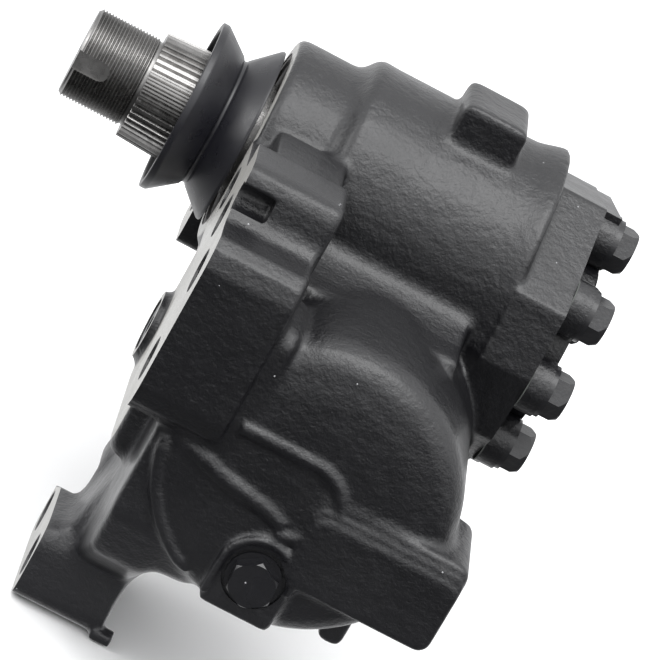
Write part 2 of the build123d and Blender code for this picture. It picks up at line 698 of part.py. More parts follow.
def valve_housing():
    body = turn_y([(CYL_BACK - 5, BORE_R - 0.06), (CYL_BACK + 0.5, BORE_R - 0.06),
                   (CYL_BACK + 0.5, VALVE_R + 4),
                   (CYL_BACK + 12, VALVE_R + 4), (CYL_BACK + 18, VALVE_R - 8),
                   (CYL_BACK + 26, VALVE_R - 14),
                   (VALVE_END - 3, VALVE_R - 14), (VALVE_END, VALVE_R - 17)])
    body += valve_ears()
    port_pad = block(CYL_X - 34, CYL_X + 34, 142, 180, CYL_Z + 30, CYL_Z + 50)
    body += fillet(port_pad.edges().filter_by(Axis.Z), 8)
    body -= y_cyl(31.0, CYL_BACK - 10, COLLAR_Y1 + THRUST_STACK + 0.05)
    body -= y_cyl(SLEEVE_R + GAP, 130, 188)
    body -= y_cyl(33, 184, VALVE_END + 5)
    for x in (-18, 18):
        body -= Pos(CYL_X + x, 161, CYL_Z + 40) * Cylinder(8.5, 22)
        body -= Pos(CYL_X + x, 161, CYL_Z + 25) * Cylinder(4.0, 30)
    bolt_hole = Pos(CYL_X + 66, CYL_BACK + 8, CYL_Z) * Rot(90, 0, 0) * Cylinder(6.3, 40)
    return body - around_piston(bolt_hole, 4, 45)


def valve_housing_gasket():
    ring = y_cyl(VALVE_R + 4, CYL_BACK, CYL_BACK + 0.5) - y_cyl(BORE_R, CYL_BACK - 1, CYL_BACK + 2)
    ears = [Pos(CYL_X + 66, CYL_BACK + 0.25, CYL_Z) * Rot(90, 0, 0) * Cylinder(12.5, 0.5)]
    ears.append(block(CYL_X + 55, CYL_X + 66, CYL_BACK, CYL_BACK + 0.5, CYL_Z - 12.5, CYL_Z + 12.5))
    for ear in ears:
        ring += around_piston(ear, 4, 45)
    hole = Pos(CYL_X + 66, CYL_BACK, CYL_Z) * Rot(90, 0, 0) * Cylinder(6.3, 10)
    return ring - around_piston(hole, 4, 45)


def valve_housing_bolts():
    head_y = CYL_BACK + 15.5
    bolts = []
    bolt = Pos(CYL_X + 66, head_y - 20, CYL_Z) * Rot(90, 0, 0) * Cylinder(6.0, 40)
    bolt += Pos(CYL_X + 66, head_y + 1.2, CYL_Z) * Rot(90, 0, 0) * Cylinder(11.0, 2.4)
    bolt += hexagon_y(18, head_y + 2.4, head_y + 10, CYL_X + 66, CYL_Z)
    bolts = around_piston(bolt, 4, 45)
    return Compound(children=bolts)


def valve_bore_cap():
    """Threaded end cap that closes the valve bore and carries the input bearing and seal."""
    cap = turn_y([(184.1, 32.96), (VALVE_END + 2, 32.96), (VALVE_END + 2, 36), (VALVE_END + 8, 36),
                  (VALVE_END + 8, 22), (204, 22)])
    cap -= y_cyl(INPUT_R + 4.5, 180, 200.1)
    cap -= y_cyl(20.0, 196, 210)
    for i in range(6):
        spot = Pos(CYL_X + 29, VALVE_END + 6, CYL_Z) * Rot(90, 0, 0) * Cylinder(2.6, 6)
        cap -= around_piston(spot, 1, 60 * i)
    return cap


def input_bearing_cup():
    return y_tube(INPUT_R + 4.48, INPUT_R + 3.1, 185, 195)


def input_bearing_needles():
    needle = Pos(CYL_X + INPUT_R + 1.55, 190, CYL_Z) * Rot(90, 0, 0) * Cylinder(1.5, 9)
    return Compound(children=around_piston(needle, 24))


def input_seal():
    return ring_y([(197, 19.98), (203, 19.98), (203, INPUT_R + 2.5), (200.2, INPUT_R + 0.06),
                   (199.4, INPUT_R + 0.06), (198.4, INPUT_R + 2.5), (198.4, 18), (197, 18)])


def input_dust_seal():
    return ring_y([(204.2, 23.5), (208, 21), (209.5, INPUT_R + 0.08), (207.5, INPUT_R + 0.08),
                   (205.5, 17.0), (204.2, 17.0)])


def port_fittings():
    fittings = []
    for x in (-18, 18):
        body = Pos(CYL_X + x, 161, CYL_Z + 44.5) * Cylinder(8.48, 13)
        body += extrude(Pos(CYL_X + x, 161, CYL_Z + 51) * RegularPolygon(12, 6, major_radius=False), 7)
        body += Pos(CYL_X + x, 161, CYL_Z + 61) * Cylinder(8.0, 7)
        body -= Pos(CYL_X + x, 161, CYL_Z + 50) * Cylinder(5.0, 40)
        fittings.append(body)
    return Compound(children=fittings)


# ---------------------------------------------------------------- plugs
def limiter_plug():
    face = CYL_FRONT - 3
    top = face - 9.5
    plug = y_cyl(8.0, face, BORE_FRONT + 2, PLUG_X, PLUG_Z)
    plug += y_cyl(12.0, face - 2.2, face, PLUG_X, PLUG_Z)
    head = hexagon_y(PLUG_AF, top, face - 2.2, PLUG_X, PLUG_Z, 33)
    dome = Pos(PLUG_X, (top + face - 2.2) / 2, PLUG_Z) * Rot(90, 0, 0) * Cone(15.0, 9.9, 7.3)
    return plug + (head & dome)


def side_plug():
    plug = x_cyl(8.0, PLATE_X0, 27, *SIDE_PLUG) + x_cyl(11.0, 0.6, PLATE_X0, *SIDE_PLUG)
    return plug - hexagon_x(8, 0, 3.6, *SIDE_PLUG)


# ---------------------------------------------------------------- export
PARTS = {
    "gear_housing": gear_housing,
    "side_cover": side_cover,
    "side_cover_gasket": cover_gasket,
    "side_cover_o_ring": cover_o_ring,
    "side_cover_bolts": side_cover_bolts,
    "adjusting_screw": adjusting_screw,
    "adjuster_lock_nut": adjuster_lock_nut,
    "adjuster_retainer": adjuster_retainer,
    "bleed_screw": bleed_screw,
    "sector_shaft": sector_shaft,
    "dust_boot": dust_boot,
    "dirt_seal": dirt_seal,
    "output_seal": output_seal,
    "seal_support_ring": seal_support_ring,
    "output_bearing_cup": output_bearing_cup,
    "output_bearing_rollers": output_bearing_rollers,
    "output_bearing_cage": output_bearing_cage,
    "cover_bearing_cup": cover_bearing_cup,
    "cover_bearing_rollers": cover_bearing_rollers,
    "rack_piston": rack_piston,
    "piston_ring": piston_ring,
    "ball_return_guides": ball_return_guides,
    "guide_clamp": guide_clamp,
    "guide_clamp_screws": guide_clamp_screws,
    "recirculating_balls": recirculating_balls,
    "worm_shaft": worm_shaft,
    "valve_sleeve": valve_sleeve,
    "sleeve_seal_rings": sleeve_seal_rings,
    "input_shaft": input_shaft,
    "torsion_bar": torsion_bar,
    "valve_housing": valve_housing,
    "valve_housing_gasket": valve_housing_gasket,
    "valve_housing_bolts": valve_housing_bolts,
    "valve_bore_cap": valve_bore_cap,
    "input_bearing_cup": input_bearing_cup,
    "input_bearing_needles": input_bearing_needles,
    "input_seal": input_seal,
    "input_dust_seal": input_dust_seal,
    "port_fittings": port_fittings,
    "limiter_plug": limiter_plug,
    "side_plug": side_plug,
    "worm_thrust_washers": worm_thrust_washers,
    "housing_thrust_washers": housing_thrust_washers,
    "thrust_rollers": thrust_rollers,
    "worm_bearing_retainer": worm_bearing_retainer,
}

for part_name, build_part in PARTS.items():
    save(part_name, build_part())
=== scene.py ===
import json
import math

import bpy
import bmesh
from mathutils import Matrix, Vector


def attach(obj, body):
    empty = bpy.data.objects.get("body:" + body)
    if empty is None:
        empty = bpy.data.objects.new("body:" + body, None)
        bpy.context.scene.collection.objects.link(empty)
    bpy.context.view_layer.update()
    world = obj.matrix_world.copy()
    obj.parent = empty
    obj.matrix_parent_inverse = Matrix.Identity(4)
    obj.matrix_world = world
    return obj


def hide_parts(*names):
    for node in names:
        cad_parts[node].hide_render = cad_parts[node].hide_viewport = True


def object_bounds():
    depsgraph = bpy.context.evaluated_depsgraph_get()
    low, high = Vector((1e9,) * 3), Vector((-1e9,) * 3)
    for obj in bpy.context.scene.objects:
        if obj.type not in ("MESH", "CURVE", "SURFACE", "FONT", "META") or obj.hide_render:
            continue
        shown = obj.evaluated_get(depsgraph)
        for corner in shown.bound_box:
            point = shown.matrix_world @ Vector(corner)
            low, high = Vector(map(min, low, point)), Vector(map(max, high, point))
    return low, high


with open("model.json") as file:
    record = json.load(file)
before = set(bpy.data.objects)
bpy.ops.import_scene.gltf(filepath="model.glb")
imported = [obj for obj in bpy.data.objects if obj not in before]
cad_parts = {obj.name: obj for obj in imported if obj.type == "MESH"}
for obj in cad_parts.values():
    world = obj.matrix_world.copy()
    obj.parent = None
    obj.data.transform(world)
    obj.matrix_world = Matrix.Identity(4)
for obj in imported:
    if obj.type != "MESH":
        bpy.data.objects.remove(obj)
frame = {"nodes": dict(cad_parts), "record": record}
CAD_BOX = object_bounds()

MM = 0.001
CYL_X, CYL_Z = 81.0, -77.0


# ------------------------------------------------------------------ mesh helpers (millimetres in, metres out)
def to_object(bm, name, smooth=True):
    bmesh.ops.recalc_face_normals(bm, faces=bm.faces)
    mesh = bpy.data.meshes.new(name)
    bm.to_mesh(mesh)
    bm.free()
    mesh.transform(Matrix.Scale(MM, 4))
    if smooth:
        mesh.polygons.foreach_set("use_smooth", [True] * len(mesh.polygons))
    obj = bpy.data.objects.new(name, mesh)
    bpy.context.scene.collection.objects.link(obj)
    return obj


def axis_frame(axis, centre):
    """Local Z runs along the named axis, local X is the first other axis."""
    if axis == "X":
        rot = Matrix(((0, 0, 1), (0, 1, 0), (-1, 0, 0)))
    elif axis == "Y":
        rot = Matrix(((1, 0, 0), (0, 0, 1), (0, -1, 0)))
    else:
        rot = Matrix.Identity(3)
    return Matrix.Translation(Vector(centre)) @ rot.to_4x4()


def lathe(bm, axis, centre, profile, segments=96, closed=False):
    """Turned solid from (along, radius) points; closed profiles make a ring."""
    place = axis_frame(axis, centre)
    rings = []
    for along, radius in profile:
        if radius <= 1e-6:
            rings.append([bm.verts.new(place @ Vector((0, 0, along)))])
            continue
        ring = []
        for i in range(segments):
            a = 2 * math.pi * i / segments
            point = Vector((radius * math.cos(a), radius * math.sin(a), along))
            ring.append(bm.verts.new(place @ point))
        rings.append(ring)
    pairs = list(zip(rings, rings[1:]))
    if closed:
        pairs.append((rings[-1], rings[0]))
    for a, b in pairs:
        for i in range(segments):
            j = (i + 1) % segments
            if len(a) == 1 and len(b) == 1:
                continue
            if len(a) == 1:
                bm.faces.new((a[0], b[j], b[i]))
            elif len(b) == 1:
                bm.faces.new((a[i], a[j], b[0]))
            else:
                bm.faces.new((a[i], a[j], b[j], b[i]))
    if not closed:
        for ring in (rings[0], rings[-1]):
            if len(ring) > 1:
                bm.faces.new(ring)


def prism(bm, axis, points, start, end):
    """Prism along X from (front, z) points or along Y from (x, z) points."""
    def place(p, q, t):
        return Vector((t, -p, q)) if axis == "X" else Vector((p, t, q))
    low = [bm.verts.new(place(p, q, start)) for p, q in points]
    high = [bm.verts.new(place(p, q, end)) for p, q in points]
    bm.faces.new(low)
    bm.faces.new(high)
    for i in range(len(low)):
        j = (i + 1) % len(low)
        bm.faces.new((low[i], low[j], high[j], high[i]))


def rounded(p0, p1, q0, q1, radius, steps=6):
    """Corner points of a rounded rectangle."""
    out = []
    for cp, cq, first in ((p1 - radius, q1 - radius, 0), (p0 + radius, q1 - radius, 90),
                          (p0 + radius, q0 + radius, 180), (p1 - radius, q0 + radius, 270)):
        for i in range(steps + 1):
            a = math.radians(first + 90 * i / steps)
            out.append((cp + radius * math.cos(a), cq + radius * math.sin(a)))
    return out


def loft(bm, loops):
    rows = [[bm.verts.new(Vector(p)) for p in loop] for loop in loops]
    for a, b in zip(rows, rows[1:]):
        for i in range(len(a)):
            j = (i + 1) % len(a)
            bm.faces.new((a[i], a[j], b[j], b[i]))
    bm.faces.new(rows[0])
    bm.faces.new(rows[-1])


def apply(obj, *modifiers):
    for kind, values in modifiers:
        mod = obj.modifiers.new(kind, kind)
        for key, value in values.items():
            setattr(mod, key, value)
    graph = bpy.context.evaluated_depsgraph_get()
    mesh = bpy.data.meshes.new_from_object(obj.evaluated_get(graph))
    obj.modifiers.clear()
    old = obj.data
    obj.data = mesh
    bpy.data.meshes.remove(old)
    return obj


def cut(obj, build):
    bm = bmesh.new()
    build(bm)
    tool = to_object(bm, "cutter", False)
    apply(obj, ("BOOLEAN", {"operation": "DIFFERENCE", "object": tool, "solver": "MANIFOLD"}))
    bpy.data.objects.remove(tool)


def join_in(obj, build):
    """Adds closed shells to the object's mesh."""
    bm = bmesh.new()
    build(bm)
    bmesh.ops.recalc_face_normals(bm, faces=bm.faces)
    bmesh.ops.scale(bm, vec=(MM, MM, MM), verts=bm.verts)
    bm.from_mesh(obj.data)
    bm.to_mesh(obj.data)
    bm.free()


# ------------------------------------------------------------------ materials
def new_material(name):
    mat = bpy.data.materials.new(name)
    mat.use_nodes = True
    tree = mat.node_tree
    return mat, tree, tree.nodes["Principled BSDF"]


def node(tree, kind, **values):
    item = tree.nodes.new(kind)
    for key, value in values.items():
        if hasattr(item, key):
            setattr(item, key, value)
        else:
            item.inputs[key].default_value = value
    return item


def noise(tree, coords, scale, detail=4.0, rough=0.55):
    tex = node(tree, "ShaderNodeTexNoise", Scale=scale, Detail=detail, Roughness=rough)
    tree.links.new(coords, tex.inputs["Vector"])
    return tex.outputs["Fac"]


def ramp(tree, value, low, high, out_low, out_high):
    item = node(tree, "ShaderNodeMapRange")
    item.clamp = True
    for key, number in (("From Min", low), ("From Max", high), ("To Min", out_low), ("To Max", out_high)):
        item.inputs[key].default_value = number
    tree.links.new(value, item.inputs["Value"])
    return item.outputs["Result"]


def mix_color(tree, factor, first, second):
    """Color mix; first is a color or the output of an earlier mix."""
    item = node(tree, "ShaderNodeMix", data_type="RGBA")
    factor_in, first_in, second_in = item.inputs[0], item.inputs[6], item.inputs[7]
    second_in.default_value = (*second, 1)
    if isinstance(first, tuple):
        first_in.default_value = (*first, 1)
    else:
        tree.links.new(first, first_in)
    tree.links.new(factor, factor_in)
    return item.outputs[2]


def bump(tree, height, strength, distance, after=None):
    item = node(tree, "ShaderNodeBump", Strength=strength, Distance=distance)
    tree.links.new(height, item.inputs["Height"])
    if after is not None:
        tree.links.new(after, item.inputs["Normal"])
    return item.outputs["Normal"]


def object_coords(tree):
    return node(tree, "ShaderNodeTexCoord").outputs["Object"]


def below(tree, value, limit):
    item = node(tree, "ShaderNodeMath", operation="LESS_THAN")
    item.inputs[1].default_value = limit
    tree.links.new(value, item.inputs[0])
    return item.outputs[0]


def multiply(tree, first, second):
    item = node(tree, "ShaderNodeMath", operation="MULTIPLY")
    tree.links.new(first, item.inputs[0])
    tree.links.new(second, item.inputs[1])
    return item.outputs[0]


def split_xyz(tree, vector):
    item = node(tree, "ShaderNodeSeparateXYZ")
    tree.links.new(vector, item.inputs[0])
    return item


def spot(tree, coords, centre, size):
    """Ragged patch around one point of the part."""
    away = node(tree, "ShaderNodeVectorMath", operation="DISTANCE")
    away.inputs[1].default_value = [c * MM for c in centre]
    tree.links.new(coords, away.inputs[0])
    ragged = node(tree, "ShaderNodeMath", operation="MULTIPLY_ADD")
    ragged.inputs[1].default_value = size * MM * 1.6
    tree.links.new(noise(tree, coords, 900, 4, 0.7), ragged.inputs[0])
    tree.links.new(away.outputs["Value"], ragged.inputs[2])
    return ramp(tree, ragged.outputs[0], size * MM * 1.6, size * MM * 1.75, 1.0, 0.0)


def dust_specks(tree, coords):
    cells = node(tree, "ShaderNodeTexVoronoi", Scale=130.0)
    tree.links.new(coords, cells.inputs["Vector"])
    near = below(tree, cells.outputs["Distance"], 0.045)
    pick = node(tree, "ShaderNodeSeparateColor")
    tree.links.new(cells.outputs["Color"], pick.inputs[0])
    return multiply(tree, near, below(tree, pick.outputs[0], 0.16))


def bare_and_lit_face_mask(tree, coords):
    """Bare machined faces, their light grey partly a painted highlight of the lit -X side: flat towards -X
    and within a few millimetres of the mounting plane.
    """
    facing = split_xyz(tree, node(tree, "ShaderNodeTexCoord").outputs["Normal"])
    return multiply(tree, ramp(tree, facing.outputs["X"], -0.97, -0.88, 1.0, 0.0),
                    below(tree, split_xyz(tree, coords).outputs["X"], 4.6 * MM))


BLACK_PAINT = (0.0042, 0.0042, 0.0054)
DUSTY_PAINT = (0.013, 0.013, 0.0155)
PAINTED_UNDERLIGHT = (0.020, 0.020, 0.0225)         # painted light: lighter colour low on the housing, standing in for light from below
SPECK = (0.30, 0.30, 0.31)
# bare iron colour of the machined faces, partly a painted highlight where they face the left light
BARE_AND_LIT_IRON = (0.30, 0.295, 0.28)
RED_MARK = (0.50, 0.035, 0.035)
CHIPPED = (0.10, 0.095, 0.095)


def cast_paint(name, grain=1.0, base=BLACK_PAINT, machined=False):
    """Black enamel sprayed over a sand casting; machined adds the housing's bare faces (their grey partly
    painted light), painted light from below low down, and marks.
    """
    mat, tree, shader = new_material(name)
    coords = object_coords(tree)
    patches = noise(tree, coords, 28, 3)
    sand = noise(tree, coords, 620, 3, 0.6)
    pits = noise(tree, coords, 210, 5, 0.6)
    wide = noise(tree, coords, 60, 2)
    dust = ramp(tree, noise(tree, coords, 90, 8, 0.7), 0.52, 0.75, 0.0, 0.35)
    color = mix_color(tree, dust, base, DUSTY_PAINT)
    if machined:
        # painted light: the colour grows lighter towards the bottom of the housing, in place of light from
        # below
        painted_underlight_fade = ramp(tree, split_xyz(tree, coords).outputs["Z"], -0.185, -0.085, 0.75, 0.0)
        color = mix_color(tree, painted_underlight_fade, color, PAINTED_UNDERLIGHT)
    color = mix_color(tree, dust_specks(tree, coords), color, SPECK)
    if machined:
        # bare machined faces, their grey partly a painted highlight of the lit -X side
        color = mix_color(tree, bare_and_lit_face_mask(tree, coords), color, BARE_AND_LIT_IRON)
        color = mix_color(tree, spot(tree, coords, (42.5, -151, -13.5), 2.2), color, RED_MARK)
        color = mix_color(tree, spot(tree, coords, (44.0, -149, -16.5), 2.4), color, CHIPPED)
    tree.links.new(color, shader.inputs["Base Color"])
    tree.links.new(ramp(tree, patches, 0.3, 0.7, 0.27, 0.42), shader.inputs["Roughness"])
    normal = bump(tree, sand, 0.45 * grain, 0.0007)
    normal = bump(tree, pits, 0.55 * grain, 0.0014, normal)
    normal = bump(tree, wide, 0.16 * grain, 0.003, normal)
    tree.links.new(normal, shader.inputs["Normal"])
    shader.inputs["Specular IOR Level"].default_value = 0.5
    shader.inputs["Coat Weight"].default_value = 0.20
    shader.inputs["Coat Roughness"].default_value = 0.22
    return mat


def bare_steel(name, base=(0.50, 0.495, 0.485), rough=0.30, axis=None, ring_scale=0.0):
    mat, tree, shader = new_material(name)
    coords = object_coords(tree)
    stain = ramp(tree, noise(tree, coords, 70, 6, 0.65), 0.42, 0.72, 0.0, 1.0)
    dark = tuple(c * 0.62 for c in base)
    tree.links.new(mix_color(tree, stain, base, dark), shader.inputs["Base Color"])
    shader.inputs["Metallic"].default_value = 1.0
    tree.links.new(ramp(tree, noise(tree, coords, 400, 3), 0.3, 0.7, rough - 0.06, rough + 0.10),
                   shader.inputs["Roughness"])
    normal = bump(tree, noise(tree, coords, 900, 2), 0.10, 0.0002)
    if ring_scale:
        wave = node(tree, "ShaderNodeTexWave", bands_direction=axis, Scale=ring_scale)
        wave.inputs["Distortion"].default_value = 0.4
        tree.links.new(coords, wave.inputs["Vector"])
        normal = bump(tree, wave.outputs["Fac"], 0.10, 0.0001, normal)
    tree.links.new(normal, shader.inputs["Normal"])
    return mat


def rubber(name, base=(0.007, 0.007, 0.0095), rough=0.30):
    mat, tree, shader = new_material(name)
    coords = object_coords(tree)
    bloom = ramp(tree, noise(tree, coords, 45, 5, 0.6), 0.45, 0.8, 0.0, 0.5)
    tree.links.new(mix_color(tree, bloom, base, tuple(c * 1.8 for c in base)), shader.inputs["Base Color"])
    tree.links.new(ramp(tree, noise(tree, coords, 130, 3), 0.3, 0.7, rough - 0.05, rough + 0.08),
                   shader.inputs["Roughness"])
    tree.links.new(bump(tree, noise(tree, coords, 1400, 2), 0.12, 0.00015), shader.inputs["Normal"])
    return mat


MATS = {
    "housing_paint": cast_paint("cast_paint", machined=True),
    "cover_paint": cast_paint("cover_cast_paint"),
    "bolt_paint": cast_paint("bolt_black_paint", 0.35, (0.007, 0.007, 0.0085)),
    "machined_steel": bare_steel("turned_steel", (0.27, 0.265, 0.26), 0.27, "X", 900.0),
    "hardened_steel": bare_steel("ground_steel", (0.55, 0.55, 0.56), 0.22),
    "piston_iron": bare_steel("oiled_iron", (0.16, 0.155, 0.15), 0.36),
    "boot_rubber": rubber("boot_rubber"),
    "seal_rubber": rubber("seal_rubber", (0.030, 0.020, 0.016), 0.5),
    "gasket": rubber("gasket_sheet", (0.05, 0.055, 0.05), 0.7),
    "plastic_ring": rubber("filled_polymer", (0.06, 0.05, 0.04), 0.4),
    "spring_steel": bare_steel("spring_steel", (0.32, 0.32, 0.34), 0.28),
    "fitting_steel": bare_steel("plated_steel", (0.52, 0.49, 0.40), 0.32),
}


def dress(obj, slot):
    obj.data.materials.clear()
    obj.data.materials.append(MATS[slot])


for entry in frame["record"]["subparts"]:
    item = frame["nodes"][entry["node"]]
    for material_slot in item.material_slots:
        material_slot.material = MATS[entry["material_slot"]]


# ------------------------------------------------------------------ casting
FLANGE = ((-50, 40), (10, 51), (61, 16), (66, -16), (58, -50), (32, -73), (0, -80),
          (-34, -74), (-58, -50), (-65, -16), (-63, 22))
FLANGE_X0, FLANGE_X1 = 127.0, 151.0
MOUNT_HOLES = ((60, -3), (95, -3), (126, -18), (126, -62), (25, -190), (73, -190), (-98, -66))
COVER_BOLTS = [(53.0 * math.cos(math.radians(a)), -17.5 + 53.0 * math.sin(math.radians(a)))
               for a in (87, 37, -3, -46, -91, -136, 177, 132)]
PLUG_X, PLUG_Z = 80.0, -118.0
PLATE_X0 = 4.0
RAW = 3.0                  # stock that the machining takes off


def tube(bm, points, radius, sides=14):
    """Closed round bar along a path, for ribs and weld-like ridges."""
    points = [Vector(p) for p in points]
    rings = []
    for i, point in enumerate(points):
        ahead = (points[min(i + 1, len(points) - 1)] - points[max(i - 1, 0)]).normalized()
        side = ahead.cross(Vector((0, 1, 0))).normalized()
        lift = side.cross(ahead).normalized()
        size = radius[i] if isinstance(radius, (list, tuple)) else radius
        rings.append([bm.verts.new(point + size * (side * math.cos(2 * math.pi * k / sides)
                                                   + lift * math.sin(2 * math.pi * k / sides)))
                      for k in range(sides)])
    for a, b in zip(rings, rings[1:]):
        for k in range(sides):
            j = (k + 1) % sides
            bm.faces.new((a[k], a[j], b[j], b[k]))
    bm.faces.new(rings[0])
    bm.faces.new(rings[-1])


def arc(cx, cz, radius, start, end, y, steps=24):
    out = []
    for i in range(steps + 1):
        a = math.radians(start + (end - start) * i / steps)
        out.append((cx + radius * math.cos(a), y, cz + radius * math.sin(a)))
    return out


def barrel_shape(bm):
    lathe(bm, "X", (0, 0, 0), [(0.3, 47.0), (1.2, 49.0), (3.5, 50), (29, 50), (32, 52.0), (35, 56.5),
                               (38, 58.2), (43, 57.6), (114, 58.0), (121, 60.0), (128, 62.0)], 160)
    loft(bm, [[(x, -f * k, (z + 16) * k - 16) for f, z in FLANGE]
              for x, k in ((114, 0.85), (FLANGE_X0 + 1, 0.985))])
    prism(bm, "X", [(f * 0.985, (z + 16) * 0.985 - 16) for f, z in FLANGE], FLANGE_X0, FLANGE_X1 + RAW)


def cylinder_shape(bm):
    lathe(bm, "Y", (CYL_X, 0, CYL_Z), [(-149.3, 0), (-148.8, 30), (-147.4, 45), (-144.4, 57), (-140.5, 62.5),
                                       (-135, 65.4), (-129, 66), (118 + RAW, 66)], 200)
    for a in (45, 135, 225, 315):
        for reach in (66, 52):
            cx = CYL_X + reach * math.cos(math.radians(a))
            cz = CYL_Z + reach * math.sin(math.radians(a))
            lathe(bm, "Y", (cx, 0, cz), [(84, 12.5), (118 + RAW, 12.5)], 48)


PAD = ((84, 29.5), (110, 29.5), (115, 28), (118, 23), (120, 12), (125, 6.5), (134, 6), (143, 6),
       (149, 2), (152, -6), (152, -65), (149, -73), (141, -77), (100, -77), (84, -30))


def pads_shape(bm):
    prism(bm, "X", [(f, z) if f < 140 else (f - 2.5, z) for f, z in PAD], -RAW, 41)
    for x0, x1, f0, f1, z0, z1, r in ((-RAW, 42.5, 84, 117, -30, 29, 6), (8, 40, 44, 90, -30, 27, 6),
                                      (-RAW, 30, 45, 90, -30, 16, 5), (-RAW, 48.5, 100, 148.5, -79, -16, 9),
                                      (-RAW, 42, -118, -78, -88, -44, 8),
                                      (PLATE_X0, 30, 6, 106, -120, -28, 12),
                                      (-RAW, 42, 10, 89, -206, -168, 10)):
        prism(bm, "X", rounded(f0, f1, z0, z1, r), x0, x1)
    lathe(bm, "X", (0, -25, -88), [(-RAW, 16), (PLATE_X0 + 2, 16.5)], 48)


def neck_shape(bm):
    prism(bm, "X", [(-60, -20), (50, 2), (56, -2), (62, -8), (68, -11), (76, -13.5), (90, -15), (90, -60),
                    (-60, -60)], 18, FLANGE_X0 - 9)
    prism(bm, "X", [(24, -178), (34, -112), (96, -80), (141, -80), (141, -125), (130, -149), (110, -162),
                    (88, -174), (88, -180)], 15, 43)
    prism(bm, "X", [(60, -112), (96, -80), (140, -80), (140, -125), (130, -144), (105, -155),
                    (60, -157)], 38, 62)
    prism(bm, "X", rounded(22, 50, -162, -140, 4), 9, 20)
    loft(bm, [[(x, -f, z) for x, z in ((6, -176), (42, -176), (72, -140), (40, -132), (15, -132))]
              for f in (30, 84)])


def soften(obj, low_corner, high_corner, reach, rounds):
    """Blends the casting further inside one region, fading out over reach."""
    mesh = obj.data
    group = obj.vertex_groups.new(name="soft")
    for vert in mesh.vertices:
        depth = min(min(vert.co[i] / MM - low_corner[i], high_corner[i] - vert.co[i] / MM) for i in range(3))
        if depth > 0:
            group.add([vert.index], min(1.0, depth / reach), "REPLACE")
    apply(obj, ("SMOOTH", {"factor": 0.5, "iterations": rounds, "vertex_group": "soft"}))
    obj.vertex_groups.clear()


def bosses_shape(bm):
    prism(bm, "Y", rounded(73.5, 103.5, 40, 69.5, 3), -28, 10)
    prism(bm, "Y", rounded(88, 158, -114, -71, 6), -150.5, -100)
    prism(bm, "Y", rounded(118.5, 130, -142, -110, 3), -122, -100)
    lathe(bm, "Y", (PLUG_X, 0, PLUG_Z + 2), [(-150.5, 16.5), (-122, 17)], 64)
    prism(bm, "Y", rounded(PLUG_X - 16.5, PLUG_X + 16.5, PLUG_Z - 20, PLUG_Z + 2, 1), -150.5, -122)


def cast_details(bm):
    """Crisper shapes that stand on the blended casting: ribs, rims and the parting steps."""
    ridge = [(45, -147.6, -61.5), (62, -147.8, -61)] + arc(80, -78.5, 17.5, 90, -95, -148.0)
    tube(bm, ridge, 3.4)
    lobe = [(26, -140.5, -80), (40, -145.0, -82.5), (54, -147.3, -86), (70, -147.4, -88.5),
            (80, -147.6, -92)]
    tube(bm, lobe, [5.0, 5.0, 4.6, 4.2, 3.6])
    rim = arc(CYL_X, CYL_Z, 60.5, 183, 245, -142.0)
    tube(bm, rim, [1.5, 2.2, 2.8] + [3.4] * (len(rim) - 5) + [2.6, 2.0])
    prism(bm, "X", [(f, z) for f, z in PAD if f > 119], -RAW, 39.5)
    prism(bm, "Y", rounded(89, 157.5, -113.3, -75.6, 5.5), -151.8, -120)
    prism(bm, "Y", rounded(91, 156.2, -112.0, -79.6, 5), -153.2, -120)
    arch = [(PLUG_X - 16, -150.6, PLUG_Z - 15)] + arc(PLUG_X, PLUG_Z + 2, 15.6, 180, -8, -150.6)
    tube(bm, arch, 1.9, 10)
    prism(bm, "X", FLANGE, FLANGE_X0, FLANGE_X1 + RAW)
    prism(bm, "X", [(80, -206), (89.4, -206), (89.4, -201), (84, -199)], 38, 48)


def ear_slope(bm):
    prism(bm, "X", [(-5, -184), (14, -182), (46, -167), (46, -150), (-5, -150)], -10, 12)


def pad_scoop(bm):
    prism(bm, "X", [(111, 21), (135, 22), (135, 8), (124, 7.5), (113, 10), (109, 15)], -10, 15)


def machining(bm):
    prism(bm, "X", [(-200, -400), (200, -400), (200, 200), (-200, 200)], -40, 0)


def flange_face(bm):
    prism(bm, "X", [(-200, -84), (90, -84), (90, 200), (-200, 200)], FLANGE_X1, FLANGE_X1 + 40)


def valve_face(bm):
    prism(bm, "Y", [(-200, -400), (400, -400), (400, 200), (-200, 200)], 118, 190)


def inner_bores(bm):
    lathe(bm, "X", (0, 0, 0), [(-6, 42.8), (-0.8, 42.8), (0.2, 42), (3, 42), (3, 40), (17, 40), (17, 38),
                               (50, 38), (50, 45), (118, 45)], 128)


def cover_opening(bm):
    lathe(bm, "X", (0, 0, -14.5), [(117, 41.1), (FLANGE_X1 + 10, 41.1)], 128)


def main_bore(bm):
    lathe(bm, "Y", (CYL_X, 0, CYL_Z), [(-128, 52.1), (130, 52.1)], 160)


def holes(bm):
    for front, z in MOUNT_HOLES:
        lathe(bm, "X", (0, -front, z), [(-6, 10.2), (-0.1, 10.2), (1.0, 9.2), (24, 9.2), (27, 0)], 48)
    for front, z in COVER_BOLTS:
        lathe(bm, "X", (0, -front, z), [(135.5, 6.02), (FLANGE_X1 + 10, 6.02)], 32)
    for a in (45, 135, 225, 315):
        cx = CYL_X + 66 * math.cos(math.radians(a))
        cz = CYL_Z + 66 * math.sin(math.radians(a))
        lathe(bm, "Y", (cx, 0, cz), [(89, 6.02), (130, 6.02)], 32)
    lathe(bm, "Y", (PLUG_X, 0, PLUG_Z), [(-170, 13.6), (-149, 13.6), (-149, 8.02), (-124, 8.02)], 64)
    lathe(bm, "X", (0, -25, -88), [(-6, 12.5), (PLATE_X0, 12.5), (PLATE_X0, 8.02), (34, 8.02)], 48)


def remesh_and_smooth(obj, voxel, rounds):
    apply(obj, ("REMESH", {"mode": "VOXEL", "voxel_size": voxel, "use_smooth_shade": True}),
          ("SMOOTH", {"factor": 0.5, "iterations": rounds}))


